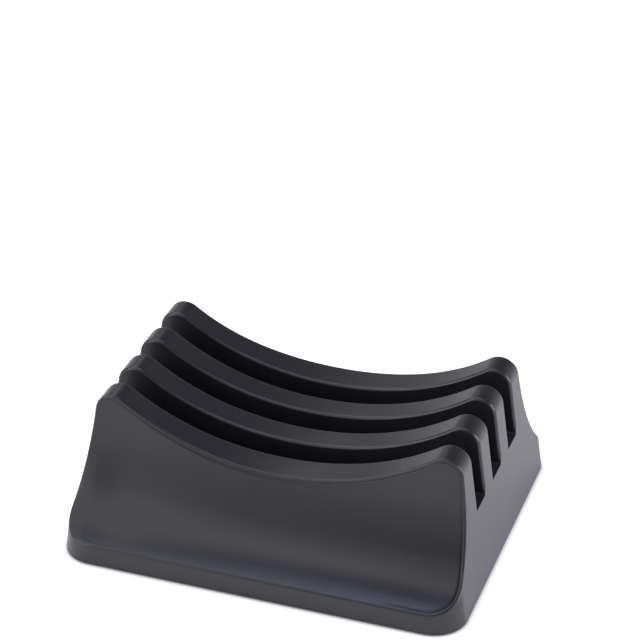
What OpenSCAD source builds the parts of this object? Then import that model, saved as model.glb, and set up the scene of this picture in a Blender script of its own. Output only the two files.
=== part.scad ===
// Pot lid rack: one hollow plastic moulding with saddle-topped walls, and four push-in rubber feet.
// X runs along the walls, Y across them, Z up. The origin is under the middle of the rack, on the table.

/* [Rack] */
// Width of the rack at its foot
rack_w = 200; // [170:1:240]
// Depth of the rack at its foot
rack_d = 164; // [150:1:200]
// Corner radius of the foot, seen from above
corner_r = 16.5; // [8:0.5:22]
// How far each end face cuts into the rounding of its corners
corner_cut = 0.06; // [0.02:0.02:0.6]
// Lean of each end face towards the middle, in degrees
end_lean = 7.9; // [2:0.1:12]
// Thickness of the moulded skin
skin = 2.5; // [1.6:0.1:3]

/* [Walls] */
// Height of the horns at the ends of each wall
horn_h = 73.8; // [66:0.2:84]
// Radius of each horn
horn_r = 9; // [7:0.5:12]
// Slope of the wall top where it leaves the horn, in degrees
horn_slope = 35; // [30:1:40]
// Height of each wall at the middle of its saddle
saddle_h = 49.2; // [46:0.2:56]
// Thickness of the front and back walls near the top
outer_wall = 13.5; // [11:0.5:18]
// Radius of the rounded edges of each wall beside a slot
edge_r = 1.4; // [0.6:0.1:3.4]

/* [Scooped faces] */
// Height of the upright band round the foot
band_h = 10.6; // [7:0.2:16]
// Height at which the scooped face turns upright
scoop_top = 70; // [60:1:74]
// How far round its ellipse the scoop runs at the band
scoop_turn = 0.98; // [0.9:0.01:0.99]

/* [Slots] */
// Number of slots
slot_n = 3; // [1:1:3]
// Distance from slot to slot
slot_pitch = 27.4; // [24:0.2:28]
// Width of each slot
slot_w = 13.4; // [10:0.2:15]
// Height of the ledge at each end of a slot
ledge_h = 40; // [34:0.5:44]
// Length of the ledge at each end of a slot, from the foot of the end face
ledge_l = 15; // [10:0.5:26]
// Height of a slot's floor at the middle
cradle_h = 6; // [4:0.5:14]

/* [Underside] */
// Number of gussets inside the band, along the front and along the back
gusset_n = 5; // [1:1:5]
// Distance from gusset to gusset
gusset_pitch = 34; // [20:1:34]
// Thickness of a gusset
gusset_t = 1.8; // [1:0.1:3]
// How far a gusset reaches in from the face of the band
gusset_d = 13; // [6:0.5:20]
// Height of a gusset's lower edge above the rim
gusset_z = 2; // [1:0.5:5]

/* [Feet] */
// Distance of a foot's centre from the end and from the front or back of the rack
foot_inset = 20; // [17:0.5:24]
// Radius of a foot's head
foot_r = 7.5; // [6.5:0.5:9]
// Thickness of a foot's head
foot_t = 2; // [1.2:0.1:3]
// How far the feet stand out below the rim
foot_proud = 0.6; // [0.3:0.1:1]
// Radius of a foot's stem
stem_r = 5; // [3.5:0.1:5.5]
// Length of a foot's stem
stem_l = 6; // [4:0.5:9]
// Clearance round a stem in its socket
stem_gap = 0.05; // [0.02:0.01:0.1]
// Wall of the socket round a stem
socket_t = 2; // [1.5:0.1:2.5]

/* [Hidden] */
plastic = "#404246";
rubber = "#1b1b1c";
scoop_steps = 24;
horn_steps = 8;
flank_steps = 4;
saddle_steps = 32;
edge_steps = 4;
reach = 2 * (rack_w + rack_d);
horn_z = horn_h - horn_r;
horn_x = rack_w / 2 - horn_z * tan(end_lean) - horn_r / cos(end_lean);
horn_turns = concat([for (i = [0 : horn_steps]) end_lean + (90 - end_lean) * i / horn_steps],
                    [for (i = [1 : flank_steps]) 90 + horn_slope * i / flank_steps]);
cradle_rise = ledge_h - cradle_h;
cradle_x = rack_w / 2 - ledge_l;
cradle_r = (cradle_x * cradle_x + cradle_rise * cradle_rise) / (2 * cradle_rise);
top_d = (slot_n - 1) * slot_pitch + slot_w + 2 * outer_wall;
foot_x = rack_w / 2 - foot_inset;
foot_y = rack_d / 2 - foot_inset;
slots = spread(slot_n, slot_pitch);

// Places of a row of things about the middle
function spread(n, pitch) = [for (i = [0 : n - 1]) (i - (n - 1) / 2) * pitch];

// Share of the way up from the saddle's middle to the horn's flank, t running from 0 to 1.
// The mix of a square and a fourth power is the one that meets the flank at the horn's slope.
function saddle_mix(end, rise) = 2 - tan(horn_slope) * end / (2 * rise);
function saddle_share(t, mix) = mix * t * t + (1 - mix) * pow(t, 4);

// Half width of the rack at a height, set in by a distance
function half_width(z, inset) = rack_w / 2 - z * tan(end_lean) - inset / cos(end_lean);

// Outline of a wall seen from the front, set in by a distance: leaning ends, horn arcs and saddle
function wall_outline(low_z, inset) =
    let (r = horn_r - inset,
         low = saddle_h - inset,
         end = horn_x - r * sin(horn_slope),
         rise = horn_z + r * cos(horn_slope) - low,
         mix = saddle_mix(end, rise),
         right = concat([[half_width(low_z, inset), low_z]],
                        [for (a = horn_turns) [horn_x + r * cos(a), horn_z + r * sin(a)]]),
         last = len(right) - 1)
    concat(right,
           [for (i = [1 : saddle_steps - 1])
               let (t = 1 - 2 * i / saddle_steps)
               [end * t, low + rise * saddle_share(abs(t), mix)]],
           [for (i = [last : -1 : 0]) [-right[i].x, right[i].y]]);

// Share of its spread that the scoop has reached at a share s of its drop, along part of an ellipse
function scoop_share(s) = (1 - sqrt(1 - pow(scoop_turn * s, 2))) / (1 - sqrt(1 - pow(scoop_turn, 2)));

// One side of the section across the walls, set in by a distance: band, scoop and upright top
function half_section(inset) =
    let (foot = rack_d / 2 - inset, top = top_d / 2 - inset, low = band_h - inset)
    concat([[foot, 0]],
           [for (i = [scoop_steps : -1 : 0])
               let (s = i / scoop_steps)
               [top + (foot - top) * scoop_share(s), scoop_top - (scoop_top - low) * s]],
           [[top, horn_h + skin]]);

// Section across the walls, run along the whole width
module scooped_section(inset) {
    half = half_section(inset);
    last = len(half) - 1;
    rotate([90, 0, 90])
        linear_extrude(height = reach, center = true)
            polygon(concat(half, [for (i = [last : -1 : 0]) [-half[i].x, half[i].y]]));
}

// Block whose right end face leans in. Its rounded corners follow the lean, and the end face cuts
// into them a little, which leaves a crease down each corner.
module leaning_end(inset) {
    r = corner_r - inset;
    translate([rack_w / 2 - inset / cos(end_lean), 0, 0])
        rotate([0, -end_lean, 0])
            linear_extrude(height = reach, center = true)
                intersection() {
                    translate([-reach, -reach / 2])
                        square([reach, reach]);
                    translate([corner_cut, 0])
                        union() {
                            translate([-reach, r - rack_d / 2 + inset])
                                square([reach, rack_d - 2 * inset - 2 * r]);
                            translate([-reach, inset - rack_d / 2])
                                square([reach - r, rack_d - 2 * inset]);
                            for (side = [-1, 1])
                                translate([-r, side * (rack_d / 2 - inset - r)])
                                    circle(r = r, $fn = 96);
                        }
                }
}

// Both leaning ends and their rounded corners, up to a height
module leaning_block(inset, top) {
    intersection() {
        leaning_end(inset);
        mirror([1, 0, 0]) leaning_end(inset);
        translate([-reach / 2, -reach / 2, -skin])
            cube([reach, reach, top + skin]);
    }
}

// Everything under the outline of the walls, set in by a distance
module under_walls(inset) {
    intersection() {
        leaning_block(inset, horn_h);
        rotate([90, 0, 0])
            linear_extrude(height = reach, center = true)
                polygon(wall_outline(-skin, inset));
    }
}

// Solid between outlines of a wall, each a pair of its place along Y and its inset
module wall_loft(stations) {
    rings = [for (s = stations) [for (p = wall_outline(ledge_h - skin, s[1])) [p.x, s[0], p.y]]];
    n = len(rings[0]);
    last = len(rings) - 1;
    polyhedron(
        points = [for (ring = rings) for (p = ring) p],
        faces = concat(
            [[for (i = [n - 1 : -1 : 0]) i]],
            [for (k = [0 : last - 1]) for (i = [0 : n - 1])
                let (j = (i + 1) % n)
                [k * n + i, k * n + j, (k + 1) * n + j, (k + 1) * n + i]],
            [[for (i = [0 : n - 1]) last * n + i]]));
}

// Stations of a rounded edge beside a slot, from the flat to the slot's face and a little into the slot
function edge_stations(face, side) =
    concat([for (i = [0 : edge_steps])
               let (a = 90 * i / edge_steps)
               [face + side * edge_r * (1 - sin(a)), edge_r * (1 - cos(a))]],
           [[face - side * edge_r / 2, edge_r]]);

function reversed(list) = [for (i = [len(list) - 1 : -1 : 0]) list[i]];

// Walls between and outside the slots, rounded where they face one
module walls() {
    half = slot_w / 2;
    out = rack_d / 2;
    front = edge_stations(slots[0] - half, -1);
    back = edge_stations(slots[slot_n - 1] + half, 1);
    wall_loft(concat([[-out, 0]], front));
    wall_loft(concat(reversed(back), [[out, 0]]));
    for (i = [1 : 1 : slot_n - 1])
        wall_loft(concat(reversed(edge_stations(slots[i - 1] + half, 1)),
                         edge_stations(slots[i] - half, -1)));
}

// Room for the lids: level ledges at both ends, and a round cradle between them
module slot_room(grow) {
    for (y = slots)
        translate([0, y, 0])
            rotate([90, 0, 0])
                linear_extrude(height = slot_w + 2 * grow, center = true)
                    union() {
                        translate([-reach / 2, ledge_h - grow])
                            square([reach, horn_h]);
                        translate([0, cradle_h + cradle_r])
                            circle(r = cradle_r + grow, $fn = 240);
                    }
}

// Places one child at each foot
module at_feet() {
    for (x = [-1, 1])
        for (y = [-1, 1])
            translate([x * foot_x, y * foot_y, 0])
                children();
}

// Thin upright plates that stiffen the band
module gussets() {
    for (x = spread(gusset_n, gusset_pitch))
        for (side = [-1, 1])
            translate([x, side * (rack_d - gusset_d) / 2, gusset_z + horn_h / 2])
                cube([gusset_t, gusset_d, horn_h], center = true);
}

// What is left out of the moulding from below, between the gussets and the foot sockets
module hollow() {
    difference() {
        intersection() {
            under_walls(skin);
            scooped_section(skin);
        }
        slot_room(skin);
        gussets();
        at_feet()
            translate([0, 0, foot_t - foot_proud])
                cylinder(h = horn_h, r = stem_r + stem_gap + socket_t, $fn = 64);
    }
}

module rack_body() {
    color(plastic)
        translate([0, 0, foot_proud])
            difference() {
                intersection() {
                    union() {
                        leaning_block(0, ledge_h);
                        walls();
                    }
                    scooped_section(0);
                }
                slot_room(0);
                hollow();
                at_feet()
                    cylinder(h = 2 * (foot_t - foot_proud + stem_l + stem_gap), r = stem_r + stem_gap,
                             center = true, $fn = 64);
            }
}

// A foot: a flat head under the socket and a stem inside it
module foot(x, y) {
    color(rubber)
        translate([x * foot_x, y * foot_y, 0])
            union() {
                cylinder(h = foot_t, r = foot_r, $fn = 64);
                cylinder(h = foot_t + stem_l, r = stem_r, $fn = 64);
            }
}

rack_body();
foot(-1, -1);  // foot_front_left
foot(1, -1);  // foot_front_right
foot(-1, 1);  // foot_back_left
foot(1, 1);  // foot_back_right
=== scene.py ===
from bisect import bisect_right
from math import asin, cos, hypot, pi, radians, sin, sqrt, tan

import bmesh
import bpy
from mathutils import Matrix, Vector


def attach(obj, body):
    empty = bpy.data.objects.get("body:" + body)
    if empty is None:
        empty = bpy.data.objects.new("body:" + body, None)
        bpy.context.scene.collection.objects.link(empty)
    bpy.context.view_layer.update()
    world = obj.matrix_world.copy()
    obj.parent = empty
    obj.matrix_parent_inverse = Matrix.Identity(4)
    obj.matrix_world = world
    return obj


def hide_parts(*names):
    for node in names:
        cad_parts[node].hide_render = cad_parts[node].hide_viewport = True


mm = 0.001
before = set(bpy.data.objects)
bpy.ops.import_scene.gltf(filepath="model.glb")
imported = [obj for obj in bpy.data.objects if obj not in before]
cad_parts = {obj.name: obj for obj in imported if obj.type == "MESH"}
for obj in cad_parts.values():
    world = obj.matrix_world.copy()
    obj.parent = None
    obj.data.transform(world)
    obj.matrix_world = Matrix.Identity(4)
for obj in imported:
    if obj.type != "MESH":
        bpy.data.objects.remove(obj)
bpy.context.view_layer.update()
print("frame loaded")


def linearColour(hexText):
    channels = [int(hexText[i:i + 2], 16) / 255 for i in (1, 3, 5)]
    return [c / 12.92 if c <= 0.04045 else ((c + 0.055) / 1.055) ** 2.4 for c in channels] + [1]


def addNode(tree, kind, settings=None, links=None, stops=()):
    # sockets go by name or number, any other setting is the node's own property, and stops fill a colour ramp
    node = tree.nodes.new(kind)
    for name, value in (settings or {}).items():
        if isinstance(name, int) or name in node.inputs.keys():
            node.inputs[name].default_value = value
        else:
            setattr(node, name, value)
    for name, source in (links or {}).items():
        tree.links.new(source, node.inputs[name])
    for i, (place, colour) in enumerate(stops):
        ramp = node.color_ramp.elements
        stop = ramp[i] if i < len(ramp) else ramp.new(place)
        stop.position, stop.color = place, colour
    return node


def newMaterial(name):
    material = bpy.data.materials.new(name)
    material.use_nodes = True
    material.node_tree.nodes.clear()
    return material, material.node_tree


def smoothEdges(mesh, angle):
    mesh.shade_smooth()
    mesh.set_sharp_from_angle(angle=angle)


def settle(piece):
    # turns a piece and its modifiers into a plain mesh
    seen = piece.evaluated_get(bpy.context.evaluated_depsgraph_get())
    mesh = bpy.data.meshes.new_from_object(seen)
    piece.modifiers.clear()
    piece.data = mesh


# camera, at the photograph's viewing angle
cameraSet = {
    "turn": radians(19.058),
    "height": radians(30.589),
    "place": (332.9 * mm, -948.2 * mm, 699.6 * mm),
    "lens": 139.2,
    "sensor": 36.0,
}


def makeCamera():
    camera = bpy.data.cameras.new("camera")
    camera.lens = cameraSet["lens"]
    camera.sensor_width = cameraSet["sensor"]
    cameraObject = bpy.data.objects.new("camera", camera)
    cameraObject.location = cameraSet["place"]
    cameraObject.rotation_euler = (pi / 2 - cameraSet["height"], 0, cameraSet["turn"])
    bpy.context.scene.collection.objects.link(cameraObject)
    bpy.context.scene.camera = cameraObject


makeCamera()
print("camera set")


# body: the outside is laid out again in even faces so that its edges can be rounded,
# and the underside is the moulding's own
bodySet = {
    # the moulding's sizes in mm, with heights from its rim, which stands "proud" of the floor
    "halfWidth": 100, "halfDepth": 82, "cornerRadius": 16.5, "cornerCut": 0.06, "lean": radians(7.9), "proud": 0.6,
    "hornHeight": 73.8, "hornRadius": 9, "hornSlope": radians(35), "saddle": 49.2,
    "bandTop": 10.6, "scoopTop": 70, "scoopTurn": 0.98, "topDepth": 47.6,
    "slots": (-27.4, 0.0, 27.4), "slotWidth": 13.4, "ledge": 40, "cradleHalf": 85, "cradleLow": 6,

    # roundings in mm
    "slotEdge": 1.4, "slotFoot": 1.0, "sideEdge": 0.45, "topEdge": 0.85, "rimEdge": 0.4, "edgeSteps": 4,

    # the scooped faces lie a little below the edge around them: how far, then how that runs out towards the middle
    # of the toe, the toe and one end, then the step itself as distance in from the edge and share of the depth
    "sunk": 0.45, "toeEase": (55, 85), "riseEase": (4, 30), "endEase": (78, 88),
    "faceStep": ((0, 0), (1.2, 0), (1.4, 0.06), (1.55, 0.25), (1.63, 0.6), (1.68, 1.1), (1.75, 1.7), (2.1, 1.8),
                 (2.5, 1.3), (3.0, 1), (4.4, 1)),

    # how finely it is laid out
    "leanSteps": 6, "hornSteps": 14, "saddleSteps": 56, "cradleSteps": 64, "cornerSteps": 10, "toeSteps": 24,
    "scoopSteps": 400, "rimSteps": 3, "rowStep": 1.5, "columnStep": 8, "slopeStep": 0.5,

    # how near counts as touching or level, in mm, and which angles count as flat or smooth
    "cutSnap": 0.02, "mergeGap": 0.002, "rimGap": 0.01, "creaseGap": 0.02, "creaseRise": 1,
    "flatAngle": radians(0.4), "smoothAngle": radians(34),

    # plastic, with grain and cloud sizes in mm
    "tones": ((0.35, "#1c1c20"), (0.65, "#1f1f23")), "cloud": 38, "cloudDetail": 3.0,
    "grain": 0.9, "grainDetail": 2.0, "grainRoughness": 0.6, "grainDepth": 0.02, "grainStrength": 0.12,
    "roughness": (0.28, 0.33), "ior": 1.5,
}


def halfWidthAt(z):
    return bodySet["halfWidth"] - z * tan(bodySet["lean"])


def scoopShare(s):
    turn = bodySet["scoopTurn"]
    return (1 - sqrt(1 - (turn * s) ** 2)) / (1 - sqrt(1 - turn ** 2))


def scoopProfile():
    # half depth, height and length along the face, from the band up
    b = bodySet
    line = []
    for i in range(b["scoopSteps"], -1, -1):
        s = i / b["scoopSteps"]
        line.append((b["topDepth"] + (b["halfDepth"] - b["topDepth"]) * scoopShare(s),
                     b["scoopTop"] - (b["scoopTop"] - b["bandTop"]) * s))
    line.append((b["topDepth"], b["hornHeight"] + 1))  # upright, to just past the horns
    along = [0.0]
    for (d0, z0), (d1, z1) in zip(line, line[1:]):
        along.append(along[-1] + hypot(d1 - d0, z1 - z0))
    return [p[0] for p in line], [p[1] for p in line], along


scoopDepths, scoopHeights, scoopLengths = scoopProfile()


def between(value, known, wanted):
    # straight-line reading of one column of the profile from another that rises
    i = min(max(bisect_right(known, value) - 1, 0), len(known) - 2)
    share = (value - known[i]) / max(known[i + 1] - known[i], 1e-9)
    return wanted[i] + (wanted[i + 1] - wanted[i]) * share


def wallOutline():
    # from the ledge at the right end, over both horns, to the ledge at the left end
    b = bodySet
    r = b["hornRadius"]
    hornZ = b["hornHeight"] - r
    hornX = b["halfWidth"] - hornZ * tan(b["lean"]) - r / cos(b["lean"])
    end = hornX - r * sin(b["hornSlope"])
    rise = hornZ + r * cos(b["hornSlope"]) - b["saddle"]
    mix = 2 - tan(b["hornSlope"]) * end / (2 * rise)  # the saddle meets the horn at its slope
    startZ = hornZ + r * sin(b["lean"])
    steps = b["leanSteps"]
    right = [(halfWidthAt(z), z) for z in (b["ledge"] + (startZ - b["ledge"]) * i / steps for i in range(steps))]
    for i in range(b["hornSteps"] + 1):
        a = b["lean"] + (pi / 2 + b["hornSlope"] - b["lean"]) * i / b["hornSteps"]
        right.append((hornX + r * cos(a), hornZ + r * sin(a)))
    middle = []
    for i in range(1, b["saddleSteps"]):
        t = 1 - 2 * i / b["saddleSteps"]
        middle.append((end * t, b["saddle"] + rise * (mix * t * t + (1 - mix) * t ** 4)))
    return right + middle + [(-x, z) for x, z in reversed(right)]


def slotFloor():
    # from the ledge's outer edge at the right end, down the cradle, to the left end
    b = bodySet
    half, rise = b["cradleHalf"], b["ledge"] - b["cradleLow"]
    radius = (half * half + rise * rise) / (2 * rise)
    reach = asin(half / radius)
    turns = (reach * (1 - 2 * i / b["cradleSteps"]) for i in range(b["cradleSteps"] + 1))
    arc = [(radius * sin(a), b["cradleLow"] + radius * (1 - cos(a))) for a in turns]
    end = halfWidthAt(b["ledge"])
    return [(end, b["ledge"])] + arc + [(-end, b["ledge"])]


def cornerArc(inset):
    # round a corner from the front to the crease where the end face cuts it, as seen from above
    b = bodySet
    r, steps = b["cornerRadius"], b["cornerSteps"]
    last = asin(1 - b["cornerCut"] / r)
    return [((b["cornerCut"] - r + (r - inset) * sin(last * k / steps)) / cos(b["lean"]),
             b["halfDepth"] - r + (r - inset) * cos(last * k / steps)) for k in range(steps + 1)]


def faceLoop(outline):
    # edge of a scooped face, unrolled: place along the rack and length up the face, anticlockwise from the toe
    b = bodySet
    inward = [-depth for depth in scoopDepths]
    right = []
    for across, depth in cornerArc(0):
        z = between(-depth, inward, scoopHeights)
        right.append((halfWidthAt(z) + across, between(z, scoopHeights, scoopLengths)))
    lowZ = between(right[-1][1], scoopLengths, scoopHeights)
    for k in range(1, b["leanSteps"]):
        z = lowZ + (b["ledge"] - lowZ) * k / b["leanSteps"]
        right.append((halfWidthAt(z), between(z, scoopHeights, scoopLengths)))
    toe = [(right[0][0] * (2 * k / b["toeSteps"] - 1), 0.0) for k in range(1, b["toeSteps"])]
    top = [(x, between(z, scoopHeights, scoopLengths)) for x, z in outline]
    left = [(-x, t) for x, t in reversed(right)]
    return {"toe": toe, "right": right, "top": top, "left": left}


def shifted(loop, inset):
    # closed loop moved inwards, anticlockwise loops only
    moved = []
    for i, (x, t) in enumerate(loop):
        x0, t0 = loop[i - 1]
        x1, t1 = loop[(i + 1) % len(loop)]
        length = hypot(x1 - x0, t1 - t0)
        moved.append((x - inset * (t1 - t0) / length, t + inset * (x1 - x0) / length))
    return moved


def easy(value, low, high):
    # runs gently from 0 at low to 1 at high
    t = min(max((value - low) / (high - low), 0), 1)
    return t * t * (3 - 2 * t)


def sunkAt(side, x, t):
    # the faces run out flush over the middle of the toe and at the end that is on the left as one faces them
    b = bodySet
    end = 1 - easy(side * x, *b["endEase"])
    return b["sunk"] * end * max(easy(t, *b["riseEase"]), easy(abs(x), *b["toeEase"]))


def onFace(side, x, t, share=0):
    # place on the front (-1) or back (1) face, or a share of the sunk depth below it
    depth, z = between(t, scoopLengths, scoopDepths), between(t, scoopLengths, scoopHeights)
    if share:
        out = between(t + bodySet["slopeStep"], scoopLengths, scoopDepths) - depth
        up = between(t + bodySet["slopeStep"], scoopLengths, scoopHeights) - z
        sink = share * sunkAt(side, x, t) / hypot(out, up)
        depth, z = depth - sink * up, z + sink * out
    return (x, side * depth, z)


class Skin:
    # faces laid between places in mm, with one vertex wherever places meet
    def __init__(self, shape):
        self.shape = shape
        self.known = {}
        self.weight = shape.edges.layers.float.new("bevel_weight_edge")

    def vertex(self, place):
        x, y, z = place
        key = (round(x, 3), round(y, 3), round(z, 3))
        if key not in self.known:
            self.known[key] = self.shape.verts.new((x * mm, y * mm, (z + bodySet["proud"]) * mm))
        return self.known[key]

    def face(self, places):
        corners = list(dict.fromkeys(self.vertex(place) for place in places))
        if len(corners) > 2:
            self.shape.faces.new(corners)

    def roundOff(self, places, size):
        for p, q in zip(places, places[1:]):
            edge = self.shape.edges.get((self.vertex(p), self.vertex(q)))
            edge[self.weight] = size / bodySet["slotEdge"]


def addScoopedFaces(skin, loop):
    # rings round the edge of the unrolled face, an even grid inside them, then both rolled up on each side
    b = bodySet
    rings = [[(x, t, share) for x, t in shifted(loop, inset)] for inset, share in b["faceStep"]]
    flat = bmesh.new()
    flatRings = [[flat.verts.new(p) for p in ring] for ring in rings]
    exact = {v: p for flatRing, ring in zip(flatRings, rings) for v, p in zip(flatRing, ring)}
    for ringA, ringB in zip(flatRings, flatRings[1:]):
        for i in range(len(loop)):
            j = (i + 1) % len(loop)
            flat.faces.new((ringA[i], ringA[j], ringB[j], ringB[i]))
    inside = [flat.faces.new(flatRings[-1])]
    rows = [b["rowStep"] * k for k in range(1, int(scoopLengths[-1] / b["rowStep"]) + 1)]
    reach = int(b["halfWidth"] / b["columnStep"])
    columns = [b["columnStep"] * k for k in range(-reach, reach + 1)]
    for place, across in [((0, t, 0), (0, 1, 0)) for t in rows] + [((x, 0, 0), (1, 0, 0)) for x in columns]:
        near = inside + [e for f in inside for e in f.edges] + [v for f in inside for v in f.verts]
        cut = bmesh.ops.bisect_plane(flat, geom=list(dict.fromkeys(near)), dist=b["cutSnap"], plane_co=place,
                                     plane_no=across)
        inside = [f for f in cut["geom"] if isinstance(f, bmesh.types.BMFace)]
    for side in (-1, 1):
        for patch in flat.faces:
            skin.face([onFace(side, *exact.get(v, v.co[:])) for v in patch.verts])
    flat.free()


def addWalls(skin, top, outline, floor):
    # wall tops and ends, slot faces and slot floors
    b = bodySet
    half = b["slotWidth"] / 2
    lines = [[onFace(-1, *p) for p in top]]
    for y in b["slots"]:
        lines += [[(x, y - half, z) for x, z in outline], [(x, y + half, z) for x, z in outline]]
    lines.append([onFace(1, *p) for p in top])
    for lineA, lineB in zip(lines[0::2], lines[1::2]):
        for i in range(len(outline) - 1):
            skin.face([lineA[i], lineA[i + 1], lineB[i + 1], lineB[i]])
    for y in b["slots"]:
        for lip in (y - half, y + half):
            skin.face([(x, lip, z) for x, z in outline] + [(x, lip, z) for x, z in reversed(floor)])
        for (xa, za), (xb, zb) in zip(floor, floor[1:]):
            skin.face([(xa, y - half, za), (xb, y - half, zb), (xb, y + half, zb), (xa, y + half, za)])


def rimLoop(z, inset):
    # once round the foot of the rack, from the front right corner
    corner = [(halfWidthAt(z) + across, depth, z) for across, depth in cornerArc(inset)]
    front = [(x, -y, zz) for x, y, zz in corner]
    back = [(x, y, zz) for x, y, zz in reversed(corner)]
    return front + back + [(-x, y, zz) for x, y, zz in reversed(back)] + [(-x, y, zz) for x, y, zz in reversed(front)]


def addBand(skin, parts):
    # band, rounded corners and leaning ends, down to the rounded rim
    b = bodySet
    turns = [pi / 2 * k / b["rimSteps"] for k in range(b["rimSteps"] + 1)]
    levels = [rimLoop(b["rimEdge"] * (1 - sin(a)), b["rimEdge"] * (1 - cos(a))) for a in turns]
    for levelA, levelB in zip(levels, levels[1:]):
        for i in range(len(levelA)):
            j = (i + 1) % len(levelA)
            skin.face([levelA[i], levelA[j], levelB[j], levelB[i]])
    rim, steps = levels[0], b["cornerSteps"]
    rightFront, rightBack, leftBack, leftFront = [rim[k * (steps + 1):(k + 1) * (steps + 1)] for k in range(4)]
    rightBack.reverse()
    leftFront.reverse()
    for side, right, left in ((-1, rightFront, leftFront), (1, rightBack, leftBack)):
        high = [onFace(side, *p) for p in parts["right"][:steps + 1]]
        highLeft = [(-x, y, z) for x, y, z in high]
        for i in range(steps):
            skin.face([right[i], right[i + 1], high[i + 1], high[i]])
            skin.face([left[i], left[i + 1], highLeft[i + 1], highLeft[i]])
        toe = [onFace(side, *p) for p in parts["toe"]]
        skin.face([left[0], right[0], high[0]] + toe[::-1] + [highLeft[0]])
    half, deep = b["slotWidth"] / 2, between(b["ledge"], scoopHeights, scoopDepths)
    up = [onFace(-1, *p) for p in parts["right"][steps:]]
    down = [onFace(1, *p) for p in reversed(parts["right"][steps:])]
    ledges = [(halfWidthAt(b["ledge"]), y, b["ledge"])
              for y in [-deep] + [y + s * half for y in b["slots"] for s in (-1, 1)] + [deep]]
    for flip, front, back in ((1, rightFront, rightBack), (-1, leftFront, leftBack)):
        skin.face([front[-1]] + [(flip * x, y, z) for x, y, z in up + ledges + down] + [back[-1]])
    return levels[-1]


def markRoundings(skin, loop, outline, floor):
    # which edges are rounded, and how far
    b = bodySet
    for side in (-1, 1):
        for p, q in zip(loop, loop[1:] + loop[:1]):
            level = abs(q[0] - p[0]) / hypot(q[0] - p[0], q[1] - p[1])
            size = b["sideEdge"] + (b["topEdge"] - b["sideEdge"]) * level
            skin.roundOff([onFace(side, *p), onFace(side, *q)], size)
    for y in b["slots"]:
        for lip in (y - b["slotWidth"] / 2, y + b["slotWidth"] / 2):
            skin.roundOff([(x, lip, z) for x, z in outline], b["slotEdge"])
            skin.roundOff([(x, lip, z) for x, z in floor], b["slotFoot"])


def addOutside(skin):
    outline, floor = wallOutline(), slotFloor()
    parts = faceLoop(outline)
    loop = parts["toe"] + parts["right"] + parts["top"] + parts["left"]
    addScoopedFaces(skin, loop)
    addWalls(skin, parts["top"], outline, floor)
    rim = addBand(skin, parts)
    markRoundings(skin, loop, outline, floor)
    return [skin.vertex(place) for place in rim]


def addUnderside(shape, node):
    # the hollow side of the moulding, cut free at its rim
    b = bodySet
    shape.from_mesh(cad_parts[node].data)
    bmesh.ops.remove_doubles(shape, verts=shape.verts, dist=b["mergeGap"] * mm)
    rimZ = (b["proud"] + b["rimGap"]) * mm
    bmesh.ops.delete(shape, geom=[f for f in shape.faces if all(v.co.z < rimZ for v in f.verts)], context="FACES_ONLY")
    loose = set(shape.faces)
    outer, outerTop = None, 0
    while loose:
        group, front = set(), [loose.pop()]
        while front:
            face = front.pop()
            group.add(face)
            for edge in face.edges:
                for other in edge.link_faces:
                    if other in loose:
                        loose.discard(other)
                        front.append(other)
        top = max(v.co.z for f in group for v in f.verts)
        if top > outerTop:
            outer, outerTop = group, top
    bmesh.ops.delete(shape, geom=list(outer), context="FACES")
    bmesh.ops.delete(shape, geom=[e for e in shape.edges if not e.link_faces], context="EDGES")
    # flats become single faces, so that they shade evenly beside the rounded edges
    bmesh.ops.dissolve_limit(shape, angle_limit=b["flatAngle"], use_dissolve_boundaries=False, verts=shape.verts[:],
                             edges=shape.edges[:], delimit={"NORMAL"})


def creaseCorners(mesh):
    # keeps the crease where each end face cuts a rounded corner
    creaseY, gap, rise = cornerArc(0)[-1][1] * mm, bodySet["creaseGap"] * mm, bodySet["creaseRise"] * mm
    for edge in mesh.edges:
        ends = [mesh.vertices[i].co for i in edge.vertices]
        if all(abs(abs(end.y) - creaseY) < gap for end in ends) and abs(ends[0].z - ends[1].z) > rise:
            edge.use_edge_sharp = True


def mouldedPlastic():
    # black-grey ABS from a spark-eroded mould: matt at first sight, with an even fine grain that spreads the gloss
    # the real grain is about 0.2 mm and would not show, so it is drawn coarser
    b = bodySet
    material, tree = newMaterial("spark_eroded_abs")
    place = addNode(tree, "ShaderNodeTexCoord").outputs["Object"]
    grain = addNode(tree, "ShaderNodeTexNoise", {"Scale": 1 / (b["grain"] * mm), "Detail": b["grainDetail"],
                                                 "Roughness": b["grainRoughness"]}, {"Vector": place})
    cloud = addNode(tree, "ShaderNodeTexNoise", {"Scale": 1 / (b["cloud"] * mm), "Detail": b["cloudDetail"]},
                    {"Vector": place})
    tone = addNode(tree, "ShaderNodeValToRGB", {}, {"Fac": cloud.outputs["Fac"]},
                   [(at, linearColour(colour)) for at, colour in b["tones"]])
    rough = addNode(tree, "ShaderNodeMapRange", {"To Min": b["roughness"][0], "To Max": b["roughness"][1]},
                    {"Value": grain.outputs["Fac"]})
    bump = addNode(tree, "ShaderNodeBump", {"Strength": b["grainStrength"], "Distance": b["grainDepth"] * mm},
                   {"Height": grain.outputs["Fac"]})
    shader = addNode(tree, "ShaderNodeBsdfPrincipled", {"IOR": b["ior"]},
                     {"Base Color": tone.outputs["Color"], "Roughness": rough.outputs["Result"],
                      "Normal": bump.outputs["Normal"]})
    addNode(tree, "ShaderNodeOutputMaterial", {}, {"Surface": shader.outputs["BSDF"]})
    return material


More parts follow.
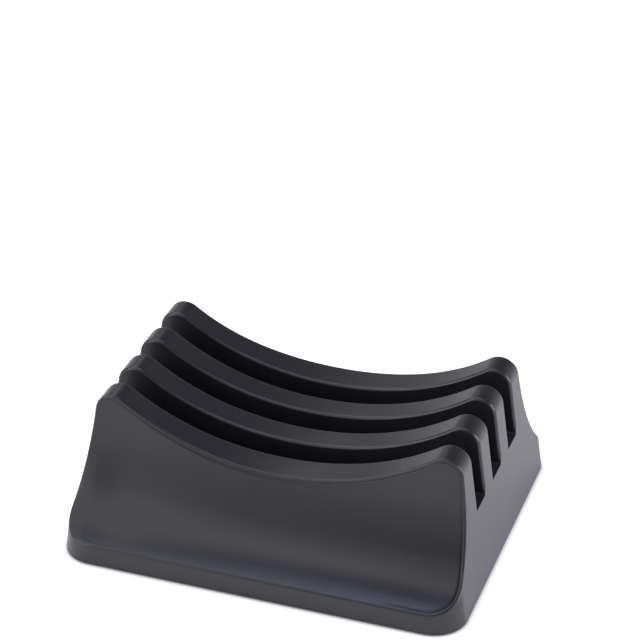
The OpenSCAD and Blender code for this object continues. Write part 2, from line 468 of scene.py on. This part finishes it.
def makeBody(node, name):
    shape = bmesh.new()
    addUnderside(shape, node)
    skin = Skin(shape)
    inner = [e for e in shape.edges if e.is_boundary]
    rim = addOutside(skin)
    outer = [shape.edges.get((rim[i - 1], rim[i])) for i in range(len(rim))]
    bmesh.ops.triangle_fill(shape, use_beauty=True, edges=inner + outer, normal=(0, 0, -1))
    bmesh.ops.recalc_face_normals(shape, faces=shape.faces)
    print("open edges", sum(len(e.link_faces) != 2 for e in shape.edges))
    mesh = bpy.data.meshes.new(name)
    shape.to_mesh(mesh)
    shape.free()
    piece = bpy.data.objects.new(name, mesh)
    bpy.context.scene.collection.objects.link(piece)
    bevel = piece.modifiers.new("edge_round", "BEVEL")
    bevel.limit_method = "WEIGHT"
    bevel.width = bodySet["slotEdge"] * mm
    bevel.segments = bodySet["edgeSteps"]
    bevel.use_clamp_overlap = False
    settle(piece)
    smoothEdges(piece.data, bodySet["smoothAngle"])
    creaseCorners(piece.data)
    piece.modifiers.new("even_shading", "WEIGHTED_NORMAL").keep_sharp = True
    settle(piece)
    piece.data.materials.clear()
    piece.data.materials.append(mouldedPlastic())
    return piece


body = makeBody("rack_body", "moulded_body")
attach(body, "root")
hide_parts("rack_body")
print("body made,", len(body.data.polygons), "faces")


# feet: one rubber foot grown step by step from its round face, then set at the four corners
footSet = {
    "sizes": {
        "Span along": 160 * mm, "Span across": 124 * mm,
        "Head radius": 7.5 * mm, "Head thickness": 2 * mm,
        "Stem radius": 5 * mm, "Stem length": 6 * mm, "Edge": 0.4 * mm,
    },
    "sides": 48, "mergeGap": 0.001, "smoothAngle": radians(50),

    # rubber, with grain and bloom sizes in mm
    "tones": ((0.35, "#1a1a1b"), (0.7, "#222223")), "bloom": 5, "grain": 0.6, "detail": 2.0,
    "grainDepth": 0.03, "grainStrength": 0.3, "roughness": 0.75, "ior": 1.5,
}


def footRubber():
    # moulded rubber: matt and near black, with the fine bloom that keeps it from shining
    f = footSet
    material, tree = newMaterial("moulded_rubber")
    place = addNode(tree, "ShaderNodeTexCoord").outputs["Object"]
    grain = addNode(tree, "ShaderNodeTexNoise", {"Scale": 1 / (f["grain"] * mm), "Detail": f["detail"]},
                    {"Vector": place})
    bloom = addNode(tree, "ShaderNodeTexNoise", {"Scale": 1 / (f["bloom"] * mm), "Detail": f["detail"]},
                    {"Vector": place})
    tone = addNode(tree, "ShaderNodeValToRGB", {}, {"Fac": bloom.outputs["Fac"]},
                   [(at, linearColour(colour)) for at, colour in f["tones"]])
    bump = addNode(tree, "ShaderNodeBump", {"Strength": f["grainStrength"], "Distance": f["grainDepth"] * mm},
                   {"Height": grain.outputs["Fac"]})
    shader = addNode(tree, "ShaderNodeBsdfPrincipled", {"Roughness": f["roughness"], "IOR": f["ior"]},
                     {"Base Color": tone.outputs["Color"], "Normal": bump.outputs["Normal"]})
    addNode(tree, "ShaderNodeOutputMaterial", {}, {"Surface": shader.outputs["BSDF"]})
    return material


def feetTree():
    tree = bpy.data.node_groups.new("push_in_feet", "GeometryNodeTree")
    for name, value in footSet["sizes"].items():
        socket = tree.interface.new_socket(name, in_out="INPUT", socket_type="NodeSocketFloat")
        socket.subtype = "DISTANCE"
        socket.default_value = value
    tree.interface.new_socket("Rubber", in_out="INPUT", socket_type="NodeSocketMaterial")
    tree.interface.new_socket("Geometry", in_out="OUTPUT", socket_type="NodeSocketGeometry")
    size = addNode(tree, "NodeGroupInput").outputs

    # the flat parts are what the rounded edges leave of each size
    faceRadius, tipRadius, headRise, stemRise = [
        addNode(tree, "ShaderNodeMath", {"operation": "SUBTRACT"}, {0: size[name], 1: size["Edge"]}).outputs[0]
        for name in ("Head radius", "Stem radius", "Head thickness", "Stem length")]
    start = addNode(tree, "GeometryNodeMeshCircle", {"fill_type": "NGON", "Vertices": footSet["sides"]},
                    {"Radius": faceRadius})
    grown, top, radius = start.outputs["Mesh"], None, faceRadius
    for rise, nextRadius in ((size["Edge"], size["Head radius"]), (headRise, size["Head radius"]),
                             (None, size["Stem radius"]), (stemRise, size["Stem radius"]), (size["Edge"], tipRadius)):
        links = {"Mesh": grown, "Offset Scale": rise, "Selection": top}
        step = addNode(tree, "GeometryNodeExtrudeMesh", {"mode": "FACES", "Individual": False, "Offset Scale": 0},
                       {name: source for name, source in links.items() if source})
        top = step.outputs["Top"]
        change = addNode(tree, "ShaderNodeMath", {"operation": "DIVIDE"}, {0: nextRadius, 1: radius})
        wider = addNode(tree, "GeometryNodeScaleElements", {}, {"Geometry": step.outputs["Mesh"], "Selection": top,
                                                                "Scale": change.outputs[0]})
        grown, radius = wider.outputs["Geometry"], nextRadius
    underside = addNode(tree, "GeometryNodeFlipFaces", {}, {"Mesh": start.outputs["Mesh"]})
    both = addNode(tree, "GeometryNodeJoinGeometry", {}, {0: grown})
    tree.links.new(underside.outputs["Mesh"], both.inputs[0])
    closed = addNode(tree, "GeometryNodeMergeByDistance", {"Distance": footSet["mergeGap"] * mm},
                     {"Geometry": both.outputs[0]})
    corners = addNode(tree, "GeometryNodeMeshGrid", {"Vertices X": 2, "Vertices Y": 2},
                      {"Size X": size["Span along"], "Size Y": size["Span across"]})
    placed = addNode(tree, "GeometryNodeInstanceOnPoints", {}, {"Points": corners.outputs["Mesh"],
                                                                "Instance": closed.outputs["Geometry"]})
    real = addNode(tree, "GeometryNodeRealizeInstances", {}, {"Geometry": placed.outputs["Instances"]})
    dressed = addNode(tree, "GeometryNodeSetMaterial", {}, {"Geometry": real.outputs["Geometry"],
                                                            "Material": size["Rubber"]})
    addNode(tree, "NodeGroupOutput", {}, {"Geometry": dressed.outputs["Geometry"]})
    return tree


def makeFeet():
    rubber = footRubber()
    tree = feetTree()
    feet = bpy.data.objects.new("rubber_feet", bpy.data.meshes.new("rubber_feet"))
    bpy.context.scene.collection.objects.link(feet)
    grow = feet.modifiers.new("feet", "NODES")
    grow.node_group = tree
    values = {**footSet["sizes"], "Rubber": rubber}
    for item in tree.interface.items_tree:
        if item.in_out == "INPUT":
            grow[item.identifier] = values[item.name]
    settle(feet)
    feet.data.materials.clear()
    feet.data.materials.append(rubber)
    smoothEdges(feet.data, footSet["smoothAngle"])
    return feet


feet = makeFeet()
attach(feet, "root")
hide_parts("foot_front_left", "foot_front_right", "foot_back_left", "foot_back_right")
print("feet made,", len(feet.data.polygons), "faces")


# floor, backdrop and lamps: soft boxes all at one distance, where "around" turns from the front to the right
# and "above" is the height, both in degrees
studioSet = {
    "floorWidth": 6.0, "paper": "#e6e6e6",
    "floorLift": 0.5,  # brings the paper up to white for the camera
    "floorGlow": 0.39,  # the same for what the gloss shows
    # the dark line where the rack meets the paper is a painted contact shadow, drawn by ambient occlusion
    "contactShadow": 2.2 * mm, "contactSamples": 8,  # reach of the dark line where the rack meets the paper
    "sky": ((0.16, 0.74), (0.36, 0.29), (0.6, 0.05)),  # height and level of the pale walls
    "distance": 1.6, "boxWidth": 0.9, "tint": "#f9f8ff",
    "boxes": [
        {"name": "right_box", "around": 90, "above": 20, "power": 27.0},
        {"name": "left_front_box", "around": 315, "above": 20, "power": 8.6},
        {"name": "left_front_high_box", "around": 315, "above": 50, "power": 3.6},
        {"name": "left_box", "around": 270, "above": 50, "power": 4.2},
        {"name": "left_back_box", "around": 225, "above": 50, "power": 5.4},
        {"name": "front_box", "around": 0, "above": 50, "power": 2.4},
        {"name": "top_box", "around": 180, "above": 80, "power": 7.4, "tint": "#cddaff"},
    ],
}


def whitePaper():
    # uncoated white card: no gloss, and pale enough to end in the white around it; near the rack, ambient occlusion
    # darkens its colour and glow as a painted contact shadow
    s = studioSet
    material, tree = newMaterial("white_paper")
    light = addNode(tree, "ShaderNodeLightPath").outputs
    # painted contact shadow: ambient occlusion darkens the paper and its glow close to the rack
    contactShadow = addNode(tree, "ShaderNodeAmbientOcclusion", {"samples": s["contactSamples"], "Distance": s["contactShadow"],
                                                           "Color": linearColour(s["paper"])})
    paper = addNode(tree, "ShaderNodeBsdfDiffuse", {}, {"Color": contactShadow.outputs["Color"]})
    lift = addNode(tree, "ShaderNodeMath", {"operation": "MULTIPLY", 1: s["floorLift"]},
                   {0: light["Is Camera Ray"]})
    shine = addNode(tree, "ShaderNodeMath", {"operation": "MULTIPLY_ADD", 1: s["floorGlow"]},
                    {0: light["Is Glossy Ray"], 2: lift.outputs["Value"]})
    near = addNode(tree, "ShaderNodeMath", {"operation": "MULTIPLY"},
                   {0: shine.outputs["Value"], 1: contactShadow.outputs["AO"]})
    glow = addNode(tree, "ShaderNodeEmission", {"Color": (1, 1, 1, 1)}, {"Strength": near.outputs["Value"]})
    both = addNode(tree, "ShaderNodeAddShader", {}, {0: paper.outputs["BSDF"], 1: glow.outputs["Emission"]})
    addNode(tree, "ShaderNodeOutputMaterial", {}, {"Surface": both.outputs["Shader"]})
    return material


def makeFloor():
    mesh = bpy.data.meshes.new("floor")
    shape = bmesh.new()
    bmesh.ops.create_grid(shape, x_segments=1, y_segments=1, size=studioSet["floorWidth"] / 2)
    shape.to_mesh(mesh)
    shape.free()
    floor = bpy.data.objects.new("floor", mesh)
    bpy.context.scene.collection.objects.link(floor)
    mesh.materials.append(whitePaper())


def makeWorld():
    # pale walls low down that darken towards the ceiling, and plain white to the camera
    world = bpy.data.worlds.new("studio")
    world.use_nodes = True
    tree = world.node_tree
    tree.nodes.clear()
    light = addNode(tree, "ShaderNodeLightPath")
    place = addNode(tree, "ShaderNodeTexCoord")
    split = addNode(tree, "ShaderNodeSeparateXYZ", {}, {"Vector": place.outputs["Generated"]})
    walls = addNode(tree, "ShaderNodeValToRGB", {}, {"Fac": split.outputs["Z"]},
                    [(rise, (level, level, level, 1)) for rise, level in studioSet["sky"]])
    shown = addNode(tree, "ShaderNodeBackground", {"Color": (1, 1, 1, 1), "Strength": 1.0})
    lit = addNode(tree, "ShaderNodeBackground", {"Strength": 1.0}, {"Color": walls.outputs["Color"]})
    pick = addNode(tree, "ShaderNodeMixShader", {}, {0: light.outputs["Is Camera Ray"],
                                                     1: lit.outputs["Background"], 2: shown.outputs["Background"]})
    addNode(tree, "ShaderNodeOutputWorld", {}, {"Surface": pick.outputs["Shader"]})
    bpy.context.scene.world = world


def makeLamps():
    for box in studioSet["boxes"]:
        light = bpy.data.lights.new(box["name"], "AREA")
        light.shape = "SQUARE"
        light.size = studioSet["boxWidth"]
        light.energy = box["power"]
        light.color = linearColour(box.get("tint", studioSet["tint"]))[:3]
        a, e = radians(box["around"]), radians(box["above"])
        towards = Vector((sin(a) * cos(e), -cos(a) * cos(e), sin(e)))
        lamp = bpy.data.objects.new(box["name"], light)
        lamp.location = towards * studioSet["distance"]
        lamp.rotation_euler = towards.to_track_quat("Z", "Y").to_euler()
        bpy.context.scene.collection.objects.link(lamp)


makeFloor()
makeWorld()
makeLamps()
bpy.context.scene.view_settings.view_transform = "Standard"
print("studio set")
